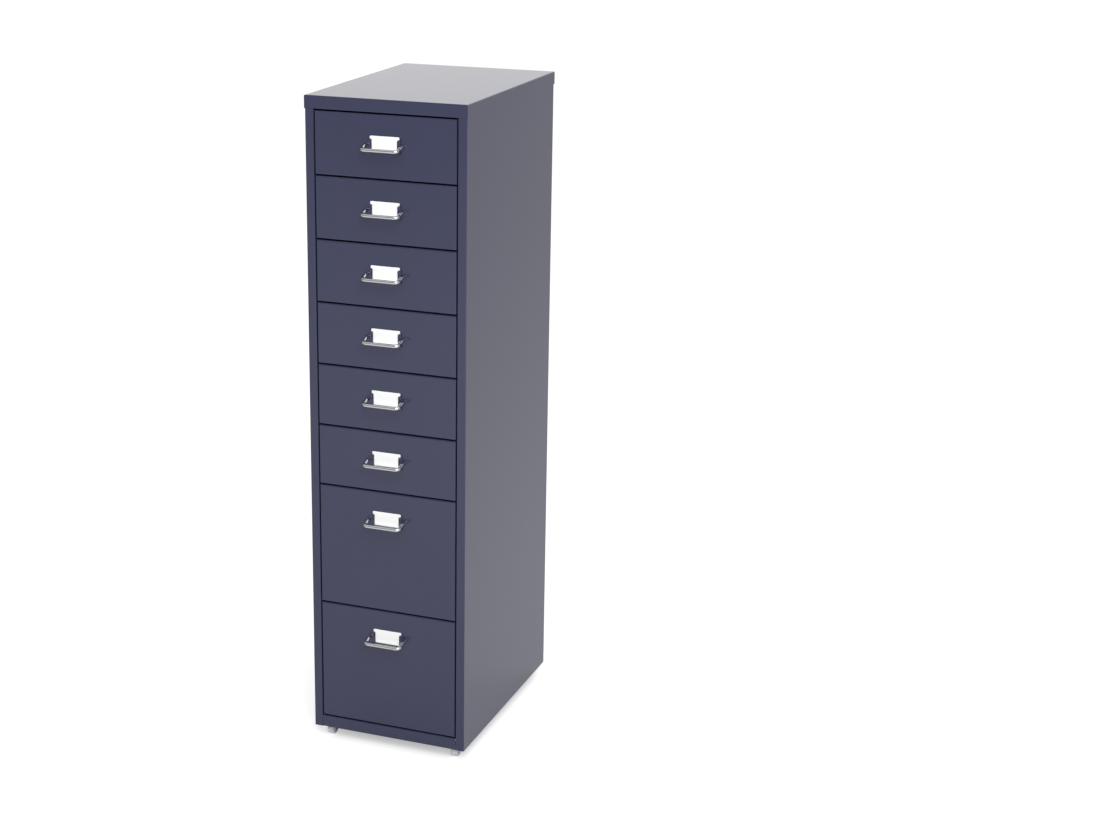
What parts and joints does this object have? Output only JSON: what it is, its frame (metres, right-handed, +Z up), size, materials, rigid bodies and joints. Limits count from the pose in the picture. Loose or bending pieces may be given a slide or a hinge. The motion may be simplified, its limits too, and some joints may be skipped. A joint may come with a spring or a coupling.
{
  "type": "rolling drawer cabinet",
  "caption": "Tall narrow steel cabinet on castors: a column of shallow drawers over deep ones, each with a chromed bail handle and a card holder.",
  "frame": {"origin": "on the floor, under the middle of the whole box", "axes": "+Z up, -Y towards the drawer fronts, +X to the right seen from the front"},
  "size_m": [0.2822, 0.4394, 1.127],
  "materials": {
    "painted_steel": "satin dark slate-blue powder coat",
    "chrome": "bright chrome plate",
    "card": "blank white card",
    "zinc_plate": "dull zinc plate",
    "wheel_plastic": "pale grey moulded plastic"
  },
  "bodies": {
    "cabinet": {"left_side_panel": "painted_steel", "right_side_panel": "painted_steel", "back_panel": "painted_steel", "top_cap": "painted_steel", "base_tray": "painted_steel", "left_runners": "painted_steel", "right_runners": "painted_steel", "carcass_screws": "zinc_plate", "castor_plates": "zinc_plate"},
    "drawer_1": {"drawer_front_1": "painted_steel", "drawer_tray_1": "painted_steel", "handle_1": "chrome", "label_holder_1": "painted_steel", "label_card_1": "card"},
    "drawer_2": {"drawer_front_2": "painted_steel", "drawer_tray_2": "painted_steel", "handle_2": "chrome", "label_holder_2": "painted_steel", "label_card_2": "card"},
    "drawer_3": {"drawer_front_3": "painted_steel", "drawer_tray_3": "painted_steel", "handle_3": "chrome", "label_holder_3": "painted_steel", "label_card_3": "card"},
    "drawer_4": {"drawer_front_4": "painted_steel", "drawer_tray_4": "painted_steel", "handle_4": "chrome", "label_holder_4": "painted_steel", "label_card_4": "card"},
    "drawer_5": {"drawer_front_5": "painted_steel", "drawer_tray_5": "painted_steel", "handle_5": "chrome", "label_holder_5": "painted_steel", "label_card_5": "card"},
    "drawer_6": {"drawer_front_6": "painted_steel", "drawer_tray_6": "painted_steel", "handle_6": "chrome", "label_holder_6": "painted_steel", "label_card_6": "card"},
    "drawer_7": {"drawer_front_7": "painted_steel", "drawer_tray_7": "painted_steel", "handle_7": "chrome", "label_holder_7": "painted_steel", "label_card_7": "card"},
    "drawer_8": {"drawer_front_8": "painted_steel", "drawer_tray_8": "painted_steel", "handle_8": "chrome", "label_holder_8": "painted_steel", "label_card_8": "card"},
    "castor_swivel_front_left": {"castor_fork_front_left": "zinc_plate"},
    "castor_roller_front_left": {"castor_wheel_front_left": "wheel_plastic"},
    "castor_swivel_front_right": {"castor_fork_front_right": "zinc_plate"},
    "castor_roller_front_right": {"castor_wheel_front_right": "wheel_plastic"},
    "castor_swivel_rear_left": {"castor_fork_rear_left": "zinc_plate"},
    "castor_roller_rear_left": {"castor_wheel_rear_left": "wheel_plastic"},
    "castor_swivel_rear_right": {"castor_fork_rear_right": "zinc_plate"},
    "castor_roller_rear_right": {"castor_wheel_rear_right": "wheel_plastic"}
  },
  "joints": [
    {"name": "drawer_1_slide", "type": "slide", "parent": "cabinet", "child": "drawer_1", "axis": [0, -1, 0], "range_m": [0, 0.29]},
    {"name": "drawer_2_slide", "type": "slide", "parent": "cabinet", "child": "drawer_2", "axis": [0, -1, 0], "range_m": [0, 0.29]},
    {"name": "drawer_3_slide", "type": "slide", "parent": "cabinet", "child": "drawer_3", "axis": [0, -1, 0], "range_m": [0, 0.29]},
    {"name": "drawer_4_slide", "type": "slide", "parent": "cabinet", "child": "drawer_4", "axis": [0, -1, 0], "range_m": [0, 0.29]},
    {"name": "drawer_5_slide", "type": "slide", "parent": "cabinet", "child": "drawer_5", "axis": [0, -1, 0], "range_m": [0, 0.29]},
    {"name": "drawer_6_slide", "type": "slide", "parent": "cabinet", "child": "drawer_6", "axis": [0, -1, 0], "range_m": [0, 0.29]},
    {"name": "drawer_7_slide", "type": "slide", "parent": "cabinet", "child": "drawer_7", "axis": [0, -1, 0], "range_m": [0, 0.29]},
    {"name": "drawer_8_slide", "type": "slide", "parent": "cabinet", "child": "drawer_8", "axis": [0, -1, 0], "range_m": [0, 0.29]},
    {"name": "castor_front_left_swivel", "type": "hinge", "parent": "cabinet", "child": "castor_swivel_front_left", "pos_m": [-0.1165, -0.16025, 0.0388], "axis": [0, 0, 1], "continuous": true},
    {"name": "castor_front_left_roll", "type": "hinge", "parent": "castor_swivel_front_left", "child": "castor_roller_front_left", "pos_m": [-0.1165, -0.16725, 0.0125], "axis": [1, 0, 0], "continuous": true},
    {"name": "castor_front_right_swivel", "type": "hinge", "parent": "cabinet", "child": "castor_swivel_front_right", "pos_m": [0.1165, -0.16025, 0.0388], "axis": [0, 0, 1], "continuous": true},
    {"name": "castor_front_right_roll", "type": "hinge", "parent": "castor_swivel_front_right", "child": "castor_roller_front_right", "pos_m": [0.1165, -0.16725, 0.0125], "axis": [1, 0, 0], "continuous": true},
    {"name": "castor_rear_left_swivel", "type": "hinge", "parent": "cabinet", "child": "castor_swivel_rear_left", "pos_m": [-0.1165, 0.18475, 0.0388], "axis": [0, 0, 1], "continuous": true},
    {"name": "castor_rear_left_roll", "type": "hinge", "parent": "castor_swivel_rear_left", "child": "castor_roller_rear_left", "pos_m": [-0.1165, 0.19175, 0.0125], "axis": [1, 0, 0], "continuous": true},
    {"name": "castor_rear_right_swivel", "type": "hinge", "parent": "cabinet", "child": "castor_swivel_rear_right", "pos_m": [0.1165, 0.18475, 0.0388], "axis": [0, 0, 1], "continuous": true},
    {"name": "castor_rear_right_roll", "type": "hinge", "parent": "castor_swivel_rear_right", "child": "castor_roller_rear_right", "pos_m": [0.1165, 0.19175, 0.0125], "axis": [1, 0, 0], "continuous": true}
  ]
}
